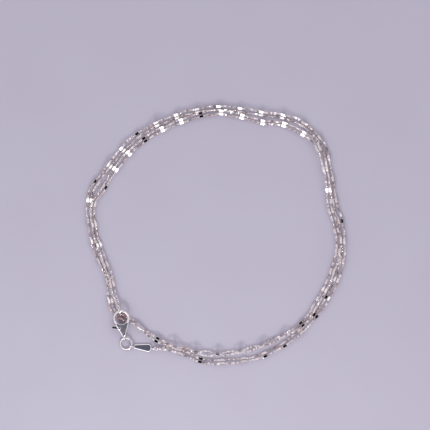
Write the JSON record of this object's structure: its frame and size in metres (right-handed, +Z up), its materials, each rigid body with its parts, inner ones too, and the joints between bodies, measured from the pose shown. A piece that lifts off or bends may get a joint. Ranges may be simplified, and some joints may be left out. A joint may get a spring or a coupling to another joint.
{
  "type": "link necklace",
  "caption": "Fine two-row link necklace with paired mirror-cut plates, sprung hook clasp and end tag, clasped and lying in a ring of two turns.",
  "frame": {"origin": "on the surface that the necklace lies on, under the middle of its box", "axes": "+Z up from the surface; +X to the right and +Y away, with the clasp at the ring's near left"},
  "size_m": [0.0723, 0.0725, 0.0029],
  "materials": {
    "link_silver": "bright drawn silver wire links, slightly warm between the links",
    "cast_silver": "cast sterling silver, tumbled and polished",
    "wire_silver": "drawn sterling silver wire, polished",
    "sheet_silver": "stamped sterling silver sheet with a mirror face"
  },
  "bodies": {
    "necklace": {"chain_strand_outer": "link_silver", "chain_strand_inner": "link_silver", "clasp_body": "cast_silver", "clasp_rivet": "cast_silver", "end_ring": "wire_silver", "jump_ring": "wire_silver", "end_tag": "sheet_silver"},
    "lever": {"clasp_lever": "cast_silver"}
  },
  "joints": [
    {"name": "lever_hinge", "type": "hinge", "parent": "necklace", "child": "lever", "pos_m": [-0.0269, -0.02609, 0.0012], "axis": [-0.019, 0.1274, -0.9917], "range_deg": [0, 16], "stiffness_Nm_per_rad": 0.0002, "springref_deg": -11.46}
  ]
}
